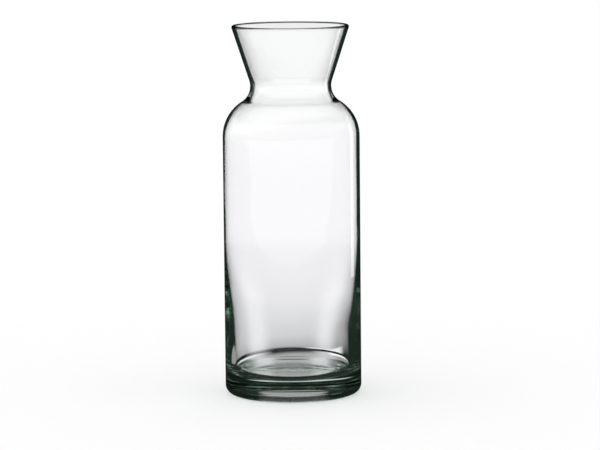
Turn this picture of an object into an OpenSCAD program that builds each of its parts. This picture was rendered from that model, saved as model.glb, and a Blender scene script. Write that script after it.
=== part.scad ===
// Water carafe in one piece of clear glass, blown in a mould: a heavy base with a
// shallow push-up, a straight round body, a round shoulder, a narrow waist and a
// flared mouth with a fire-polished rim that pours all round.
// The origin is the middle of the base, level with the table, and +Z is up.

/* [Whole carafe] */
// Height from the table to the top of the rim
carafe_h = 250; // [240:1:280]

/* [Body] */
// Outside diameter of the straight body
body_d = 92.4; // [88:0.2:104]
// Thickness of the body wall and the shoulder, above where the wall starts to thicken
body_t = 1.7; // [1.2:0.1:2.6]
// Height at which the straight wall ends and the shoulder begins
shoulder_z = 175; // [150:1:180]
// Outside radius of the round shoulder
shoulder_r = 27.5; // [25:0.5:31]

/* [Neck and mouth] */
// Outside diameter of the waist, the narrowest place
waist_d = 54.6; // [48:0.2:60]
// Outside radius of the hollow curve at the waist
hollow_r = 12.6; // [10:0.2:15]
// Inside radius of the same curve, where the glass thins out towards the shoulder
throat_r = 13; // [11:0.2:15]
// Outside diameter of the mouth
mouth_d = 79; // [72:0.5:86]
// Thickness of the glass in the flare, and of the rim
neck_t = 2.7; // [2.2:0.1:3.6]

/* [Base] */
// Thickness of the floor over the middle of the push-up
floor_t = 11; // [7:0.5:16]
// Outside radius of the heel
heel_r = 6; // [4:0.5:8]
// Width of the flat ring that the carafe stands on
ring_w = 3; // [1.5:0.5:5]
// Radius of the round edge between the standing ring and the push-up
edge_r = 3; // [1:0.5:3.5]
// Height of the push-up under the middle of the base
push_h = 2.6; // [1.5:0.1:3.6]
// Height at which the wall starts to thicken towards the base
thick_z = 104; // [80:1:130]
// Thickness of the wall just above the inside corner of the floor
foot_t = 7.5; // [5:0.5:10]
// Inside radius of the corner between wall and floor
corner_r = 9; // [5:0.5:14]

/* [Hidden] */
$fn = 240;
// Overrun of every cut
over = 1;
// Curves that touch lap by this much, so that they cross at one clean point
lap = 0.002;

// Centres of the shoulder curve and of the hollow curve at the waist
body_r = body_d / 2;
shoulder_c = [body_r - shoulder_r, shoulder_z];
hollow_x = waist_d / 2 + hollow_r;
hollow_rise = sqrt(pow(shoulder_r + hollow_r - lap, 2) - pow(hollow_x - shoulder_c.x, 2));
hollow_c = [hollow_x, shoulder_z + hollow_rise];

// The rim is a round bead, as wide as the glass it closes
rim_r = neck_t / 2 + lap;
rim_c = [mouth_d / 2 - rim_r, carafe_h - rim_r];

// The flare is straight: it leaves the hollow curve and runs up to the rim
lean = rim_c - hollow_c;
flare = atan2(lean.x, lean.y) + asin((hollow_r - lap + neck_t / 2) / norm(lean));
along = [sin(flare), cos(flare)];
across = [cos(flare), -sin(flare)];

// Inside, the hollow curve touches the flare and the shoulder in the same way
throat_off = (rim_c - shoulder_c) * across + throat_r - lap - neck_t / 2;
throat_up = sqrt(pow(shoulder_r - body_t + throat_r - lap, 2) - pow(throat_off, 2));
throat_c = shoulder_c + throat_off * across + throat_up * along;

// The standing ring lies between the heel and the edge of the push-up's dome
heel_x = body_r - heel_r;
ring_x = heel_x - ring_w;
dome_r = (pow(ring_x, 2) + pow(push_h - edge_r, 2) - pow(edge_r - lap, 2)) / (2 * (push_h - lap));
dome_z = push_h - dome_r;

// Inside, two equal arcs carry the lower wall from thin to thick
bowl_r = body_r - body_t;
foot_r = body_r - foot_t;
floor_z = push_h + floor_t;
foot_z = floor_z + corner_r;
swell = [bowl_r - foot_r, thick_z - foot_z];
swell_r = (pow(swell.x, 2) + pow(swell.y, 2)) / (4 * (swell.x - lap));
swell_z = (foot_z + thick_z) / 2;

// A slab of the half outline, from the axis out to a given radius
module slab(radius, from_z, to_z) {
    polygon([[0, from_z], [radius, from_z], [radius, to_z], [0, to_z]]);
}

// A disc that touches the upright line at x, at height z, from its inner side
module disc_inside(x, z, radius) {
    translate([x, z]) translate([-radius, 0]) circle(radius);
}

// The same from its outer side
module disc_outside(x, z, radius) {
    translate([x, z]) translate([radius, 0]) circle(radius);
}

// Wall, shoulder, hollow curve and flare, from low_z up. Face is how far the flare's
// face lies from the middle of the glass. The inside uses this outline too, with the
// sizes of its own curves, and runs past the rim.
module upper_outline(wall, shoulder, centre, hollow, face, low_z, past) {
    leave = centre - hollow * across;
    foot = [centre.x - (hollow - lap) / cos(flare), centre.y];
    head = rim_c + face * across + past * along;
    far = head - (neck_t + over) * across;
    slab(wall, low_z, shoulder_z);
    intersection() {
        disc_inside(wall, shoulder_z, shoulder);
        slab(wall + over, shoulder_z, centre.y);
    }
    difference() {
        polygon([[0, low_z], [shoulder_c.x, low_z], shoulder_c, centre, leave, [0, leave.y]]);
        disc_outside(centre.x - hollow, centre.y, hollow);
    }
    polygon([[0, centre.y], foot, head, far, [0, far.y]]);
}

// Heel, standing ring and push-up, up to the height of the heel curve
module base_outline() {
    disc_inside(body_r, heel_r, heel_r);
    translate([ring_x, 0]) square([ring_w, heel_r]);
    disc_inside(ring_x + edge_r, edge_r, edge_r);
    difference() {
        slab(heel_x, 0, heel_r);
        polygon([[0, dome_z], [heel_x + over, dome_z], [heel_x + over, edge_r], [ring_x, edge_r]]);
        translate([0, push_h]) translate([0, -dome_r]) circle(dome_r);
    }
}

module outside_outline() {
    base_outline();
    upper_outline(body_r, shoulder_r, hollow_c, hollow_r, neck_t / 2, heel_r, 0);
}

// The inside, from the floor up, with the thickening of the lower wall
module inside_outline() {
    slab(foot_r - corner_r, floor_z, foot_z);
    disc_inside(foot_r, foot_z, corner_r);
    difference() {
        slab(bowl_r, foot_z, swell_z);
        disc_outside(foot_r, foot_z, swell_r);
    }
    intersection() {
        slab(body_r, foot_z, thick_z);
        disc_inside(bowl_r, thick_z, swell_r);
    }
    upper_outline(bowl_r, shoulder_r - body_t, throat_c, throat_r, -neck_t / 2, thick_z, over);
}

module carafe_body() {
    color("lightcyan", 0.4) rotate_extrude() {
        difference() {
            outside_outline();
            inside_outline();
        }
        translate(rim_c) circle(rim_r);
    }
}

carafe_body();
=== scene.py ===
# A water carafe in one piece of clear glass, on a plain white table
from math import asin, atan2, cos, hypot, pi, radians, sin, sqrt

import bmesh
import bpy
from mathutils import Matrix, Vector, noise


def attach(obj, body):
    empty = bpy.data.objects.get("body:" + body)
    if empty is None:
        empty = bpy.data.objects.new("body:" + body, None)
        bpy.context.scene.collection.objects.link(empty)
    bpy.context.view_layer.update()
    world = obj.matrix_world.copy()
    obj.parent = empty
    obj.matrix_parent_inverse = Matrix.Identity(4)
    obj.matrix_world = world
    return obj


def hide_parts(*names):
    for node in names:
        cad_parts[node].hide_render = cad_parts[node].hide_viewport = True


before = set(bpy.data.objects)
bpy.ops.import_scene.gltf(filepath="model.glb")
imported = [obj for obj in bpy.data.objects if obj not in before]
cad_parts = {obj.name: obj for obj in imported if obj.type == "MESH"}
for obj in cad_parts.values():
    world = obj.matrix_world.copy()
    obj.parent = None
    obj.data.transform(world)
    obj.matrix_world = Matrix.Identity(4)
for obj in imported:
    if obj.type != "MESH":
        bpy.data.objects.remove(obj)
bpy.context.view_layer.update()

scene = bpy.context.scene

# The glass: one gather of soda-lime glass, blown in a turned mould and cut free at the
# rim, which a flame then rounds. The mould gives the outside its true curves, and the
# inside is where the glass stopped, so it is thick below and a little uneven.
mm = 0.001
carafe_h = 250 * mm
body_r = 46.2 * mm
body_t = 1.7 * mm
shoulder_z = 175 * mm
shoulder_r = 27.5 * mm
waist_r = 27.3 * mm
hollow_r = 12.6 * mm
throat_r = 13 * mm
mouth_r = 39.5 * mm
neck_t = 2.7 * mm
floor_t = 11 * mm
heel_r = 6 * mm
ring_w = 3 * mm
edge_r = 3 * mm
push_h = 2.6 * mm
thick_z = 104 * mm
foot_t = 7.5 * mm
corner_r = 9 * mm

# Centres of the curves, as x and height in the section
shoulder_c = Vector((body_r - shoulder_r, shoulder_z))
hollow_x = waist_r + hollow_r
hollow_rise = sqrt((shoulder_r + hollow_r) ** 2 - (hollow_x - shoulder_c.x) ** 2)
hollow_c = Vector((hollow_x, shoulder_z + hollow_rise))
rim_r = neck_t / 2
rim_c = Vector((mouth_r - rim_r, carafe_h - rim_r))
lean = rim_c - hollow_c
flare = atan2(lean.x, lean.y) + asin((hollow_r + rim_r) / lean.length)
along = Vector((sin(flare), cos(flare)))
across = Vector((cos(flare), -sin(flare)))
throat_off = (rim_c - shoulder_c).dot(across) + throat_r - rim_r
throat_up = sqrt((shoulder_r - body_t + throat_r) ** 2 - throat_off ** 2)
throat_c = shoulder_c + throat_off * across + throat_up * along
heel_c = Vector((body_r - heel_r, heel_r))
edge_c = Vector((heel_c.x - ring_w, edge_r))
dome_r = (edge_c.x ** 2 + push_h ** 2) / (2 * push_h) - edge_r
dome_c = Vector((0, push_h - dome_r))
bowl_r = body_r - body_t
foot_r = body_r - foot_t
floor_z = push_h + floor_t
corner_c = Vector((foot_r - corner_r, floor_z + corner_r))
swell = Vector((foot_t - body_t, thick_z - corner_c.y))
swell_r = swell.length_squared / (4 * swell.x)

# How far the pen turns on each curve
outer_turn = atan2(hollow_c.y - shoulder_c.y, hollow_c.x - shoulder_c.x)
inner_turn = atan2(throat_c.y - shoulder_c.y, throat_c.x - shoulder_c.x)
dome_turn = asin(edge_c.x / (dome_r + edge_r))
swell_turn = asin(swell.y / (2 * swell_r))

# The half outline is drawn as one line of vertices, with the pen going up the outside
# from the middle of the base, over the rim and down the inside to the middle of the floor
STEP = 4 * mm
ARC_STEP = radians(3)
ARC_FEWEST = 3
glass = bmesh.new()
inside = glass.verts.layers.float.new("inside")
pen = glass.verts.new((0, 0, push_h))


def straight(x, z):
    """Draws straight on to a point of the half outline, in short steps."""
    global pen
    run = Vector((x, 0, z)) - pen.co
    count = max(1, round(run.length / STEP))
    for _ in range(count):
        pen = bmesh.ops.extrude_vert_indiv(glass, verts=[pen])["verts"][0]
        pen.co += run / count


def arc(centre, turn):
    """Draws round a centre; a positive turn is anticlockwise, with the height upwards."""
    global pen
    count = max(ARC_FEWEST, round(abs(turn) / ARC_STEP))
    made = bmesh.ops.spin(glass, geom=[pen], cent=(centre.x, 0, centre.y), axis=(0, -1, 0),
                          angle=turn, steps=count, use_merge=False, use_duplicate=False)
    pen = [e for e in made["geom_last"] if isinstance(e, bmesh.types.BMVert)][0]


arc(dome_c, -dome_turn)
arc(edge_c, dome_turn)
straight(heel_c.x, 0)
arc(heel_c, pi / 2)
straight(body_r, shoulder_z)
arc(shoulder_c, outer_turn)
arc(hollow_c, -outer_turn - flare)
straight(*(rim_c + rim_r * across))
arc(rim_c, pi)
pen[inside] = 1
straight(*(throat_c - throat_r * across))
arc(throat_c, inner_turn + flare)
arc(shoulder_c, -inner_turn)
straight(bowl_r, thick_z)
arc(Vector((bowl_r - swell_r, thick_z)), -swell_turn)
arc(Vector((foot_r + swell_r, corner_c.y)), swell_turn)
arc(corner_c, -pi / 2)
straight(0, floor_z)

# The half outline goes once round, and its two ends close on the axis
TURN_STEPS = 192
MERGE = 0.01 * mm
bmesh.ops.spin(glass, geom=glass.verts[:] + glass.edges[:], cent=(0, 0, 0), axis=(0, 0, 1),
               angle=2 * pi, steps=TURN_STEPS, use_merge=True, use_duplicate=False)
bmesh.ops.remove_doubles(glass, verts=glass.verts[:], dist=MERGE)
bmesh.ops.recalc_face_normals(glass, faces=glass.faces[:])

# The inside hangs a little to one side of the mould, by an amount that changes with the
# height. Each stop is a height and how far the inside hangs to the right, in millimetres.
HANG_STOPS = ((0, -0.5), (50, -0.5), (85, -0.35), (170, -0.35), (205, 0.2), (220, 0.1), (240, 0),
              (1000, 0))

# The inner wall is softly uneven where the gather was thicker or thinner, in broad and in
# fine noise, which ends below the rim. One place low on the right is thin.
BROAD_NOISE = 22
BROAD_DEPTH = 0.16 * mm
FINE_NOISE = 60
FINE_SHIFT = Vector((3, 5, 7))
FINE_DEPTH = 0.05 * mm
EVEN_RIM = 4 * mm
EVEN_RUN = 20 * mm
THIN_Z = 61 * mm
THIN_REACH = 18 * mm
THIN_DEPTH = 0.6 * mm
AXIS_R = 1 * mm


def eased(share):
    """A share from 0 to 1 that starts and ends softly."""
    return share * share * (3 - 2 * share)


def hang(z):
    """How far the inside hangs to the right, at a height."""
    for (low, first), (high, last) in zip(HANG_STOPS, HANG_STOPS[1:]):
        if z <= high * mm:
            return (first + (last - first) * eased((z / mm - low) / (high - low))) * mm


def unevenness(place):
    """How far the inner wall stands outwards at a place on it."""
    depth = noise.noise(place * BROAD_NOISE) * BROAD_DEPTH
    depth += noise.noise(place * FINE_NOISE + FINE_SHIFT) * FINE_DEPTH
    return depth * min(1, max(0, (carafe_h - EVEN_RIM - place.z) / EVEN_RUN))


for vertex in glass.verts:
    if vertex[inside] > 0.5:
        place = vertex.co.copy()
        radius = hypot(place.x, place.y)
        if radius > AXIS_R:
            uneven = unevenness(place)
            vertex.co.x += uneven * place.x / radius
            vertex.co.y += uneven * place.y / radius
            thin = max(0, 1 - abs(place.z - THIN_Z) / THIN_REACH) * max(0, place.x / radius)
            vertex.co.x += THIN_DEPTH * eased(thin)
        vertex.co.x += hang(place.z)

mesh = bpy.data.meshes.new("glass_carafe")
glass.to_mesh(mesh)
glass.free()
mesh.polygons.foreach_set("use_smooth", [True] * len(mesh.polygons))
carafe = bpy.data.objects.new("glass_carafe", mesh)
scene.collection.objects.link(carafe)


def emptied(owner):
    """The node tree of a material or a world, with nothing in it."""
    owner.use_nodes = True
    owner.node_tree.nodes.clear()
    return owner.node_tree


def step_between(tree, value, low, high):
    """A mask that rises from 0 to 1 as a value goes from low to high."""
    ramp = tree.nodes.new("ShaderNodeMapRange")
    ramp.interpolation_type = "SMOOTHSTEP"
    ramp.inputs["From Min"].default_value = low
    ramp.inputs["From Max"].default_value = high
    tree.links.new(value, ramp.inputs["Value"])
    return ramp.outputs["Result"]


def joined(tree, operation, first, second=None):
    """A Math node's result for one or two values, of which the second may be a number."""
    node = tree.nodes.new("ShaderNodeMath")
    node.operation = operation
    tree.links.new(first, node.inputs[0])
    if isinstance(second, bpy.types.NodeSocket):
        tree.links.new(second, node.inputs[1])
    elif second is not None:
        node.inputs[1].default_value = second
    return node.outputs[0]


def axes_of(tree, vector):
    """The X, Y and Z of a vector."""
    split = tree.nodes.new("ShaderNodeSeparateXYZ")
    tree.links.new(vector, split.inputs[0])
    return split.outputs


def stretched_noise(tree, where, scales, detail, roughness):
    """Noise with a scale of its own along each axis, in turns per metre."""
    stretch = tree.nodes.new("ShaderNodeMapping")
    stretch.inputs["Scale"].default_value = scales
    tree.links.new(where, stretch.inputs["Vector"])
    grain = tree.nodes.new("ShaderNodeTexNoise")
    grain.inputs["Scale"].default_value = 1
    grain.inputs["Detail"].default_value = detail
    grain.inputs["Roughness"].default_value = roughness
    tree.links.new(stretch.outputs["Vector"], grain.inputs["Vector"])
    return grain.outputs["Fac"]


def relief(tree, height, strength, depth):
    """A Bump node that a height feeds."""
    bump = tree.nodes.new("ShaderNodeBump")
    bump.inputs["Strength"].default_value = strength
    bump.inputs["Distance"].default_value = depth
    tree.links.new(height, bump.inputs["Height"])
    return bump


# Clear glass, with the green of iron where light goes a long way through it, and a shadow
# that is nearly clear
GLASS_IOR = 1.52
GLASS_TINT = (0.62, 0.84, 0.73, 1)
GLASS_DENSITY = 9.0
GLASS_SHADOW = (0.97, 0.98, 0.975, 1)
clear = bpy.data.materials.new("clear_glass")
tree = emptied(clear)
out = tree.nodes.new("ShaderNodeOutputMaterial")
skin = tree.nodes.new("ShaderNodeBsdfPrincipled")
skin.inputs["Base Color"].default_value = (1, 1, 1, 1)
skin.inputs["Roughness"].default_value = 0
skin.inputs["IOR"].default_value = GLASS_IOR
skin.inputs["Transmission Weight"].default_value = 1
path = tree.nodes.new("ShaderNodeLightPath")
through = tree.nodes.new("ShaderNodeBsdfTransparent")
through.inputs["Color"].default_value = GLASS_SHADOW
choose = tree.nodes.new("ShaderNodeMixShader")
tree.links.new(path.outputs["Is Shadow Ray"], choose.inputs["Fac"])
tree.links.new(skin.outputs["BSDF"], choose.inputs[1])
tree.links.new(through.outputs["BSDF"], choose.inputs[2])
tree.links.new(choose.outputs["Shader"], out.inputs["Surface"])
tint = tree.nodes.new("ShaderNodeVolumeAbsorption")
tint.inputs["Color"].default_value = GLASS_TINT
tint.inputs["Density"].default_value = GLASS_DENSITY
tree.links.new(tint.outputs["Volume"], out.inputs["Volume"])
mesh.materials.append(clear)

# The skin of the glass ripples a little: wide soft waves run up and down, and the turning
# mould leaves faint lines round the body. The standing ring is scuffed dull by use.
WAVE_SCALES = (70, 70, 25)
WAVE_STRENGTH = 0.10
WAVE_DEPTH = 0.4 * mm
MOULD_SCALES = (9, 9, 420)
MOULD_STRENGTH = 0.05
MOULD_DEPTH = 0.05 * mm
SCUFF_SCALES = (900, 900, 900)
SCUFF_EDGE = (0.42, 0.62)
SCUFF_ROUGHNESS = 0.35
SOLE_Z = (0.35 * mm, 0.05 * mm)
where = tree.nodes.new("ShaderNodeTexCoord").outputs["Object"]
wave_noise = stretched_noise(tree, where, WAVE_SCALES, detail=1, roughness=0.4)
mould_noise = stretched_noise(tree, where, MOULD_SCALES, detail=2, roughness=0.5)
scuff_noise = stretched_noise(tree, where, SCUFF_SCALES, detail=4, roughness=0.5)
waves = relief(tree, wave_noise, WAVE_STRENGTH, WAVE_DEPTH)
mould_lines = relief(tree, mould_noise, MOULD_STRENGTH, MOULD_DEPTH)
tree.links.new(waves.outputs["Normal"], mould_lines.inputs["Normal"])
tree.links.new(mould_lines.outputs["Normal"], skin.inputs["Normal"])
sole = step_between(tree, axes_of(tree, where)["Z"], *SOLE_Z)
scuffs = step_between(tree, scuff_noise, *SCUFF_EDGE)
worn = joined(tree, "MULTIPLY", joined(tree, "MULTIPLY", sole, scuffs), SCUFF_ROUGHNESS)
tree.links.new(worn, skin.inputs["Roughness"])

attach(carafe, "root")
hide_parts("carafe_body")

# The table: a round sheet of white paper, so wide that no edge shows. Seen directly it is
# plain white. Through the glass and in its reflections, the paper glows with painted lights
# and shades, and the studio world carries lights and shades too, in place of those that cards
# and flags give a carafe in a real studio.
TABLE_R = 30
TABLE_SIDES = 128
bpy.ops.mesh.primitive_circle_add(vertices=TABLE_SIDES, radius=TABLE_R, fill_type="NGON",
                                  location=(0, 0, 0))
table = bpy.context.object
table.name = "table"

# Painted shade, as dark as flags, as the glass shows it and as its edges do, and the tint of
# the painted shades on the paper
DARK = (0.007, 0.013, 0.009, 1)
EDGE_DARK = (0.014, 0.023, 0.018, 1)
SHADE_TINT = (1, 0.98, 1.01)


def in_mm(*sizes):
    """Sizes in millimetres, as metres."""
    return [size * mm for size in sizes]


def grey(level):
    """A neutral colour of a light level."""
    return (level, level, level, 1)


def pick(tree, mask, first, second):
    """A colour that goes from the first to the second as the mask goes from 0 to 1."""
    mix = tree.nodes.new("ShaderNodeMix")
    mix.data_type = "RGBA"
    tree.links.new(mask, mix.inputs[0])
    for socket, value in ((mix.inputs[6], first), (mix.inputs[7], second)):
        if isinstance(value, bpy.types.NodeSocket):
            tree.links.new(value, socket)
        else:
            socket.default_value = value
    return mix.outputs[2]


def layered(tree, colour, layers):
    """A colour with other colours laid over it in turn, each where its mask is."""
    for mask, over in layers:
        colour = pick(tree, mask, colour, over)
    return colour


def product(tree, *masks):
    """A mask where all of some masks are."""
    whole = masks[0]
    for mask in masks[1:]:
        whole = joined(tree, "MULTIPLY", whole, mask)
    return whole


def window(tree, value, limits):
    """A mask that rises between the first two limits and falls between the last two."""
    start, full, last, end = limits
    return product(tree, step_between(tree, value, start, full), step_between(tree, value, end, last))


def distance_from(tree, where, centre):
    """How far a place is from a centre."""
    span = tree.nodes.new("ShaderNodeVectorMath")
    span.operation = "DISTANCE"
    span.inputs[1].default_value = centre
    tree.links.new(where, span.inputs[0])
    return span.outputs["Value"]


def rings(tree, distance, levels):
    """Light by distance. Each level has its distance first, in thousandths, which are
    millimetres on the table."""
    last = levels[-1][0]
    place = tree.nodes.new("ShaderNodeMapRange")
    place.inputs["From Max"].default_value = last * mm
    tree.links.new(distance, place.inputs["Value"])
    ramp = tree.nodes.new("ShaderNodeValToRGB")
    stops = ramp.color_ramp.elements
    stops[0].position = levels[0][0] / last
    for distance_at, _ in levels[1:-1]:
        stops.new(distance_at / last)
    for stop, (_, level) in zip(stops, levels):
        stop.color = [level * part for part in SHADE_TINT] + [1]
    tree.links.new(place.outputs["Result"], ramp.inputs["Fac"])
    return ramp.outputs["Color"]


def at_least(tree, depth, count):
    """A mask for rays that have bounced in one way at least so often. It rises halfway
    between two counts."""
    return step_between(tree, depth, count - 0.6, count - 0.4)


def ray_masks(tree):
    """Masks for rays that have met glass, that have come through it into the open again
    on the far side, that a reflection has turned, and that light the paper."""
    path = tree.nodes.new("ShaderNodeLightPath")
    met = at_least(tree, path.outputs["Transmission Depth"], 1)
    past = at_least(tree, path.outputs["Transmission Depth"], 3)
    turned = at_least(tree, path.outputs["Glossy Depth"], 1)
    lighting = at_least(tree, path.outputs["Diffuse Depth"], 1)
    return met, past, turned, lighting


paper = bpy.data.materials.new("white_paper_painted_light")
tree = emptied(paper)
out = tree.nodes.new("ShaderNodeOutputMaterial")
met, past, turned, lighting = ray_masks(tree)
where = tree.nodes.new("ShaderNodeTexCoord").outputs["Object"]
spot = axes_of(tree, where)
toward = tree.nodes.new("ShaderNodeVectorMath")
toward.operation = "NORMALIZE"
tree.links.new(where, toward.inputs[0])
heading = axes_of(tree, toward.outputs["Vector"])
reach = distance_from(tree, where, (0, 0, 0))
aside = joined(tree, "ABSOLUTE", spot["X"])

# Beyond the empty carafe, a ring of shade is painted on the paper, a little to one side,
# crossed on each side by a soft column of painted light that goes further out with the
# distance. Each level has its distance from the middle of the ring first, in millimetres.
SHADE_C = in_mm(19, 22, 0)
SHADE_LEVELS = (
    (44, 0.46), (53, 0.46), (56, 0.38), (61, 0.30), (67, 0.12), (73, 0.003), (99, 0.003), (105, 0.14),
    (112, 0.32), (118, 0.46), (126, 0.56), (132, 0.62), (144, 0.77), (178, 0.90), (215, 0.95), (283, 0.98),
    (600, 0.98))
COLUMN_LEVELS = (
    (60, 0.72), (68, 0.75), (73, 0.92), (78, 0.55), (85, 0.30), (98, 0.46), (109, 0.62), (116, 0.76),
    (121, 0.82), (133, 0.94), (144, 1.00), (178, 1.05), (215, 1.08), (283, 1.04), (600, 1.00))
COLUMN_HALF = 22 * mm
COLUMN_WIDENS = 0.115
COLUMN_SHARES = (0.45, 0.95, 1.05, 1.65)
ring = distance_from(tree, where, SHADE_C)
half = tree.nodes.new("ShaderNodeMath")
half.operation = "MULTIPLY_ADD"
half.inputs[1].default_value = COLUMN_WIDENS
half.inputs[2].default_value = COLUMN_HALF
tree.links.new(spot["Y"], half.inputs[0])
column = window(tree, joined(tree, "DIVIDE", aside, half.outputs[0]), COLUMN_SHARES)
beyond = pick(tree, column, rings(tree, ring, SHADE_LEVELS), rings(tree, ring, COLUMN_LEVELS))

# On the right, the painted ring of shade is dark all through, with an arc of painted light
# outside it
RIGHT_HALF = in_mm(8, 22)
DARK_ARC = in_mm(70, 76, 96, 102)
LIGHT_ARC = in_mm(99.5, 104.5, 111.5, 116.5)
LIGHT_ARC_END = in_mm(82, 62)
LIGHT_ARC_LEVEL = 1.1
right_half = step_between(tree, spot["X"], *RIGHT_HALF)
dark_arc = product(tree, window(tree, ring, DARK_ARC), right_half)
light_arc = product(tree, window(tree, ring, LIGHT_ARC), right_half,
                    step_between(tree, spot["X"], *LIGHT_ARC_END))

# Under the base, painted shade makes the paper darker to either side. A crescent of painted
# light lies on the left and one on the right.
BASE_REACH = in_mm(64, 58)
BASE_LEVELS = ((0, 0.48), (12, 0.50), (18, 0.76), (26, 0.76), (33, 0.32), (40, 0.10), (46, 0.05))
LEFT_CRESCENT = in_mm(64.5, 67.5, 73.5, 76.5)
LEFT_SIDE = in_mm(-28, -33)
LEFT_LEVEL = 1.0
RIGHT_CRESCENT = in_mm(48, 54, 66, 72)
RIGHT_SIDE = in_mm(33, 38)
RIGHT_LEVEL = 1.2
base = step_between(tree, reach, *BASE_REACH)
left_side = step_between(tree, spot["X"], *LEFT_SIDE)
left_crescent = product(tree, window(tree, ring, LEFT_CRESCENT), left_side)
right_side = step_between(tree, spot["X"], *RIGHT_SIDE)
right_crescent = product(tree, window(tree, ring, RIGHT_CRESCENT), right_side)

# From over an arm's length on, painted light makes the paper brighter than white, and then
# brighter still
WHITE_FROM = (1.2, 2.6)
WHITE_LEVEL = 1.07
BRIGHT_FROM = (2.2, 3.0)
BRIGHT_LEVEL = 1.14
white_far = step_between(tree, reach, *WHITE_FROM)
bright_far = step_between(tree, reach, *BRIGHT_FROM)

# Two thin lines of painted shade cross the middle, just behind the base
LINE_HALF = in_mm(16, 6)
FIRST_LINE = in_mm(52, 53.5, 55, 56.5)
FIRST_LEVEL = 0.10
SECOND_LINE = in_mm(61, 62.5, 64, 65.5)
SECOND_LEVEL = 0.28
line_half = step_between(tree, aside, *LINE_HALF)
first_line = product(tree, line_half, window(tree, spot["Y"], FIRST_LINE))
second_line = product(tree, line_half, window(tree, spot["Y"], SECOND_LINE))
beyond = layered(tree, beyond, (
    (dark_arc, DARK), (light_arc, grey(LIGHT_ARC_LEVEL)), (base, rings(tree, aside, BASE_LEVELS)),
    (left_crescent, grey(LEFT_LEVEL)), (right_crescent, grey(RIGHT_LEVEL)),
    (white_far, grey(WHITE_LEVEL)), (bright_far, grey(BRIGHT_LEVEL)),
    (first_line, grey(FIRST_LEVEL)), (second_line, grey(SECOND_LEVEL))))

# Rays that a reflection has turned as well find painted shade on the near paper
NEAR_PAPER = (0.3, 0.5)
beyond_turned = pick(tree, step_between(tree, reach, *NEAR_PAPER), DARK, beyond)

# The solid glass of the base and the rim shows painted shade, with a strip of painted light
# on the paper behind, and the far paper straight behind
STRIP_REACH = (0.09, 0.11, 0.26, 0.30)
STRIP_HEADING = (-0.52, -0.42, 0.20, 0.27)
STRIP_FROM = (0.04, 0.08)
FAR_HEADING = (0.94, 0.97)
FAR_FROM = (1.0, 1.6)
PAPER_LEVEL = 0.9
strip = product(tree, window(tree, reach, STRIP_REACH), window(tree, heading["X"], STRIP_HEADING),
                step_between(tree, spot["Y"], *STRIP_FROM))
far = product(tree, step_between(tree, heading["Y"], *FAR_HEADING), step_between(tree, reach, *FAR_FROM))
solid = pick(tree, joined(tree, "MAXIMUM", strip, far), DARK, grey(PAPER_LEVEL))

# The outside mirrors the distant paper, light except straight behind, and the white paper
# right in front of the base. Straight behind and nearer in, the paper is painted dark for
# these rays, as painted shade.
BEHIND = (0.60, 0.80)
MIRROR_FROM = (0.55, 1.0)
CLOSE_REACH = (0.07, 0.06)
CLOSE_HEADING = (-0.80, -0.92)
behind = step_between(tree, heading["Y"], *BEHIND)
distant = step_between(tree, reach, *MIRROR_FROM)
mirror = pick(tree, distant, DARK, pick(tree, behind, grey(PAPER_LEVEL), DARK))
close = product(tree, step_between(tree, reach, *CLOSE_REACH),
                step_between(tree, heading["Y"], *CLOSE_HEADING))
mirror = pick(tree, close, mirror, grey(1))

# The edges of the glass show painted shade, but for the paper in front and a spot of painted
# light behind on the left, which makes a small crescent in the foot
FRONT_FROM = (-0.34, -0.44)
LIGHT_SPOT_C = in_mm(-113, 60, 0)
LIGHT_SPOT_REACH = in_mm(21, 13)
LIGHT_SPOT_LEVEL = 0.38
front = step_between(tree, spot["Y"], *FRONT_FROM)
painted_light_spot = step_between(tree, distance_from(tree, where, LIGHT_SPOT_C), *LIGHT_SPOT_REACH)
edges = layered(tree, EDGE_DARK, ((front, grey(PAPER_LEVEL)), (painted_light_spot, grey(LIGHT_SPOT_LEVEL))))

# Each ray gets the painted view that belongs to its way through the glass, which the paper
# gives off as a glow
near = pick(tree, turned, solid, pick(tree, met, mirror, edges))
seen = pick(tree, past, near, pick(tree, turned, beyond, beyond_turned))
glow = tree.nodes.new("ShaderNodeEmission")
tree.links.new(pick(tree, lighting, seen, grey(PAPER_LEVEL)), glow.inputs["Color"])

# Seen directly, the paper is plain white and keeps the carafe's shadow
sheet = tree.nodes.new("ShaderNodeBsdfDiffuse")
sheet.inputs["Color"].default_value = (1, 1, 1, 1)
show = tree.nodes.new("ShaderNodeMixShader")
tree.links.new(joined(tree, "MAXIMUM", met, turned), show.inputs["Fac"])
tree.links.new(sheet.outputs["BSDF"], show.inputs[1])
tree.links.new(glow.outputs["Emission"], show.inputs[2])
tree.links.new(show.outputs["Shader"], out.inputs["Surface"])
table.data.materials.append(paper)

# The streak card: a tall lit card behind on the right that faces the carafe. Only the
# skin of the glass mirrors it, as a narrow upright streak.
STREAK_AT = Vector((0.45, 0.24, 0.16))
STREAK_W = 0.09
STREAK_H = 0.30
STREAK_LIGHT = 2.5
streak_turn = atan2(STREAK_AT.y, STREAK_AT.x) - pi / 2
bpy.ops.mesh.primitive_plane_add(size=1, location=STREAK_AT, rotation=(pi / 2, 0, streak_turn))
streak = bpy.context.object
streak.name = "streak_card"
streak.scale = (STREAK_W, STREAK_H, 1)
streak.visible_camera = False
streak.visible_diffuse = False
streak.visible_transmission = False
streak.visible_shadow = False
lit = bpy.data.materials.new("lit_card")
tree = emptied(lit)
out = tree.nodes.new("ShaderNodeOutputMaterial")
glow = tree.nodes.new("ShaderNodeEmission")
glow.inputs["Color"].default_value = (1, 1, 1, 1)
glow.inputs["Strength"].default_value = STREAK_LIGHT
tree.links.new(glow.outputs["Emission"], out.inputs["Surface"])
streak.data.materials.append(lit)

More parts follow.
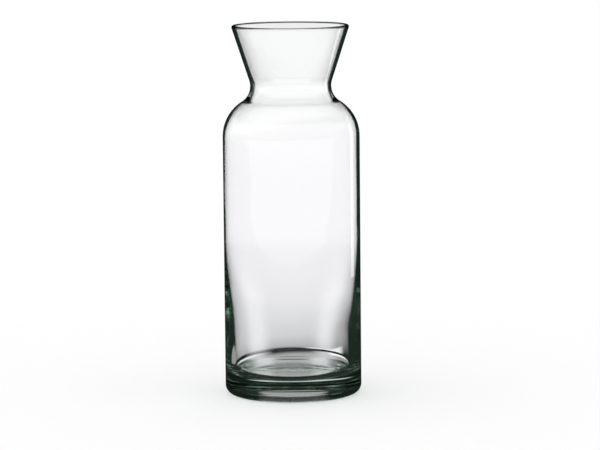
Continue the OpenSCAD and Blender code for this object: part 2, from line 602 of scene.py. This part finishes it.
# The studio: a white room, and white all round for the camera and through the empty
# carafe. Dark flags stand round the carafe for its solid glass and its edges, and a low
# light card on each side and one behind.
world = bpy.data.worlds.new("studio")
scene.world = world
tree = emptied(world)
out = tree.nodes.new("ShaderNodeOutputWorld")
glow = tree.nodes.new("ShaderNodeBackground")
met, past, turned, lighting = ray_masks(tree)
turned_twice = at_least(tree, tree.nodes.new("ShaderNodeLightPath").outputs["Glossy Depth"], 2)
axes = axes_of(tree, tree.nodes.new("ShaderNodeTexCoord").outputs["Generated"])
aside = joined(tree, "ABSOLUTE", axes["X"])

# The edges of the glass show dark, but for the low light cards. These limits and those
# below are parts of a heading of length 1: X to the right, Y away and Z upwards.
SIDE_CARD = (0.86, 0.93)
BACK_CARD = (0.90, 0.935)
CARD_Z = (0.16, 0.20, 0.35, 0.40)
CARD_LIGHT = (0.50, 0.44, 0.47, 1)
CARD_DARK = (0.021, 0.024, 0.020, 1)
on_cards = joined(tree, "MAXIMUM", step_between(tree, aside, *SIDE_CARD),
                  step_between(tree, axes["Y"], *BACK_CARD))
on_cards = product(tree, on_cards, window(tree, axes["Z"], CARD_Z))
edges = pick(tree, on_cards, CARD_DARK, CARD_LIGHT)

# The outside mirrors a light room, with a dark flag straight behind
MIRROR_LEVEL = 0.9
mirror = pick(tree, step_between(tree, axes["Y"], *BEHIND), grey(MIRROR_LEVEL), DARK)

# Beyond the empty carafe, rays that a reflection has turned find a low light straight on
# with dark beside and above it, white on the camera's side, dark higher up all round, and
# a light ceiling with a darker middle. Rays turned twice find part of the ceiling dark.
LOW_LEVELS = ((0, 0.34), (35, 0.38), (60, 0.85), (105, 0.85), (140, 0.20), (180, 0.02), (1000, 0.02))
LOW_END = (0.15, 0.25)
CAMERA_SIDE = (-0.35, -0.50)
DARK_FROM = (0.30, 0.42)
CEILING_FROM = (0.60, 0.70)
CEILING_LEVEL = 0.9
MIDDLE_FROM = (0.84, 0.94)
MIDDLE_LEVEL = 0.42
WINGS_FROM = (0.34, 0.42)
WINGS_LEVEL = 0.95
TWICE_Z = (0.78, 0.86)
TWICE_X = (0.42, 0.34)
TWICE_Y = (0.38, 0.28)
ceiling = step_between(tree, axes["Z"], *CEILING_FROM)
wings = product(tree, step_between(tree, aside, *WINGS_FROM), ceiling)
twice = product(tree, turned_twice, step_between(tree, axes["Z"], *TWICE_Z),
                step_between(tree, aside, *TWICE_X), step_between(tree, axes["Y"], *TWICE_Y))
beyond_turned = layered(tree, rings(tree, aside, LOW_LEVELS), (
    (step_between(tree, axes["Z"], *LOW_END), DARK),
    (step_between(tree, axes["Y"], *CAMERA_SIDE), grey(1)),
    (step_between(tree, axes["Z"], *DARK_FROM), DARK),
    (ceiling, grey(CEILING_LEVEL)),
    (step_between(tree, axes["Z"], *MIDDLE_FROM), grey(MIDDLE_LEVEL)),
    (wings, grey(WINGS_LEVEL)), (twice, DARK)))

# Each ray gets its view here too. The solid glass shows dark, and what the camera sees
# directly is white, and a little brighter through the empty carafe.
BEYOND_LEVEL = 1.1
near = pick(tree, turned, pick(tree, met, grey(1), DARK), pick(tree, met, mirror, edges))
seen = pick(tree, past, near, pick(tree, turned, grey(BEYOND_LEVEL), beyond_turned))
tree.links.new(pick(tree, lighting, seen, grey(1)), glow.inputs["Color"])
tree.links.new(glow.outputs["Background"], out.inputs["Surface"])

# Light crosses many walls of glass before it comes out again
scene.cycles.max_bounces = 32
scene.cycles.glossy_bounces = 24
scene.cycles.transmission_bounces = 32
scene.cycles.transparent_max_bounces = 16
scene.view_settings.view_transform = "Standard"

# The camera stands well back with a long lens, a little above the rim, and is not
# quite level, as in the photograph
PHOTO_W = 600
SENSOR = 36
LENS_PX = 3062
PITCH = radians(7.40)
ROLL = radians(0.53)
CAMERA_AT = Vector((5.4, -2054.8, 381.3)) * mm
forward = Vector((0, cos(PITCH), -sin(PITCH)))
level_right = Vector((1, 0, 0))
level_up = Vector((0, sin(PITCH), cos(PITCH)))
view_right = cos(ROLL) * level_right - sin(ROLL) * level_up
view_up = sin(ROLL) * level_right + cos(ROLL) * level_up
view = Matrix((view_right, view_up, -forward)).transposed()
lens = bpy.data.cameras.new("camera")
lens.sensor_width = SENSOR
lens.lens = SENSOR * LENS_PX / PHOTO_W
lens.clip_end = 100
camera = bpy.data.objects.new("camera", lens)
camera.matrix_world = Matrix.LocRotScale(CAMERA_AT, view, None)
scene.collection.objects.link(camera)
scene.camera = camera
